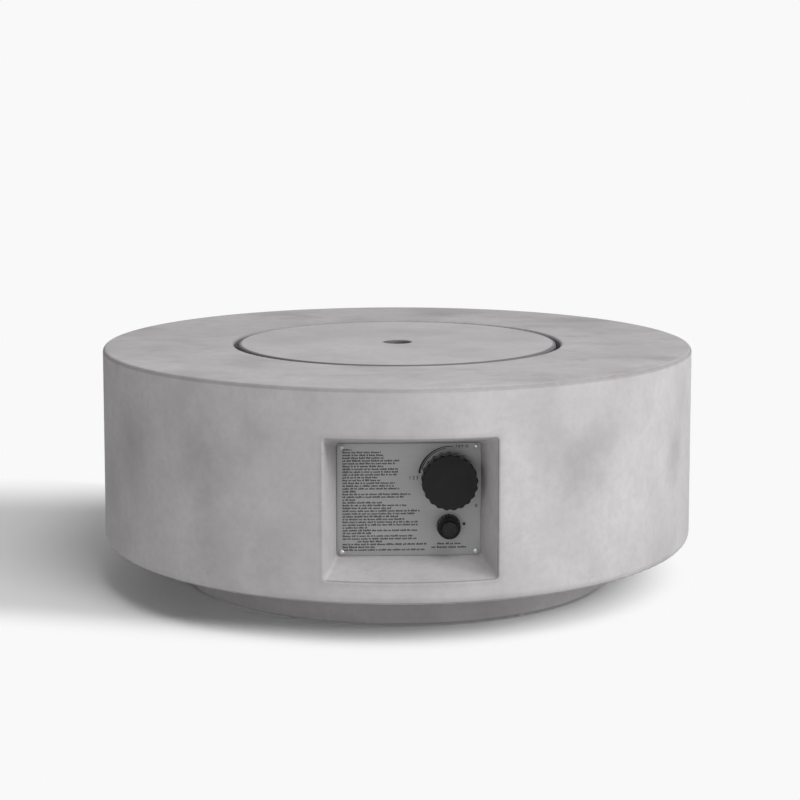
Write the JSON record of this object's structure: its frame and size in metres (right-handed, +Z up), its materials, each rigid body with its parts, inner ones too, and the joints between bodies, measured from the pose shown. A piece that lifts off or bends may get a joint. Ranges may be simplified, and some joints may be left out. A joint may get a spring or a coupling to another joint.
{
  "type": "fire pit table",
  "caption": "Low round gas fire pit table: concrete drum on a darker plinth, flush lid with a finger hole over the burner, and a splayed niche with gas knob and igniter.",
  "frame": {"origin": "on the floor, under the drum's axis", "axes": "+Z up along the drum's axis, -Y out of the control niche, +X to the right seen from the niche"},
  "size_m": [1.0668, 1.067, 0.42],
  "materials": {
    "pale_concrete": "cast, lightly mottled, sealed matt",
    "dark_concrete": "cast, darker grey, matt",
    "rubber": "matt",
    "hose_rubber": "matt",
    "zinc_steel": "zinc plated",
    "bright_steel": "bright",
    "burner_steel": "pressed and bent stainless",
    "plate_steel": "finely brushed, printed",
    "brass": "turned",
    "copper": "drawn copper",
    "mixer_aluminium": "die cast",
    "valve_aluminium": "die cast",
    "white_ceramic": "unglazed",
    "black_plastic": "moulded, fine grain",
    "button_plastic": "moulded, smooth",
    "cell_jacket": "plain sleeve"
  },
  "bodies": {
    "table": {"concrete_shell": "pale_concrete", "base_ring": "pale_concrete", "plinth_ring": "dark_concrete", "rubber_feet": "rubber", "plinth_bolts": "zinc_steel", "plinth_washers": "zinc_steel", "threaded_inserts": "brass", "burner_pan": "burner_steel", "burner_ring": "burner_steel", "burner_nipple": "brass", "pan_lock_nut": "brass", "air_mixer": "mixer_aluminium", "gas_jet": "brass", "burner_hose": "hose_rubber", "hose_nuts": "brass", "electrode_bracket": "burner_steel", "bracket_screws": "zinc_steel", "electrode_ceramic": "white_ceramic", "electrode_rod": "bright_steel", "thermocouple_probe": "copper", "spark_lead": "hose_rubber", "thermocouple_lead": "copper", "control_plate": "plate_steel", "plate_screws": "bright_steel", "valve_body": "valve_aluminium", "valve_bonnet": "valve_aluminium", "valve_screws": "zinc_steel", "valve_spring": "bright_steel", "outlet_fitting": "brass", "inlet_fitting": "brass", "thermocouple_nut": "brass", "igniter_housing": "black_plastic", "igniter_nut": "black_plastic", "igniter_battery": "cell_jacket", "button_spring": "bright_steel", "igniter_terminals": "bright_steel"},
    "lid": {"lid": "pale_concrete", "lid_bumpers": "rubber"},
    "valve_plunger": {"valve_plunger": "brass"},
    "control_knob": {"control_knob": "black_plastic", "valve_stem": "brass"},
    "igniter_button": {"igniter_button": "button_plastic"}
  },
  "joints": [
    {"name": "lid_lift", "type": "slide", "parent": "table", "child": "lid", "axis": [0, 0, 1], "range_m": [0, 0.35]},
    {"name": "knob_push", "type": "slide", "parent": "table", "child": "valve_plunger", "axis": [0, 1, 0], "range_m": [0, 0.005], "stiffness_N_per_m": 1200, "springref_m": -0.004, "deforming": ["valve_spring"]},
    {"name": "knob_turn", "type": "hinge", "parent": "valve_plunger", "child": "control_knob", "pos_m": [0.064, -0.465, 0.259], "axis": [0, -1, 0], "range_deg": [0, 240]},
    {"name": "button_push", "type": "slide", "parent": "table", "child": "igniter_button", "axis": [0, 1, 0], "range_m": [0, 0.004], "stiffness_N_per_m": 800, "springref_m": -0.003, "deforming": ["button_spring"]}
  ]
}
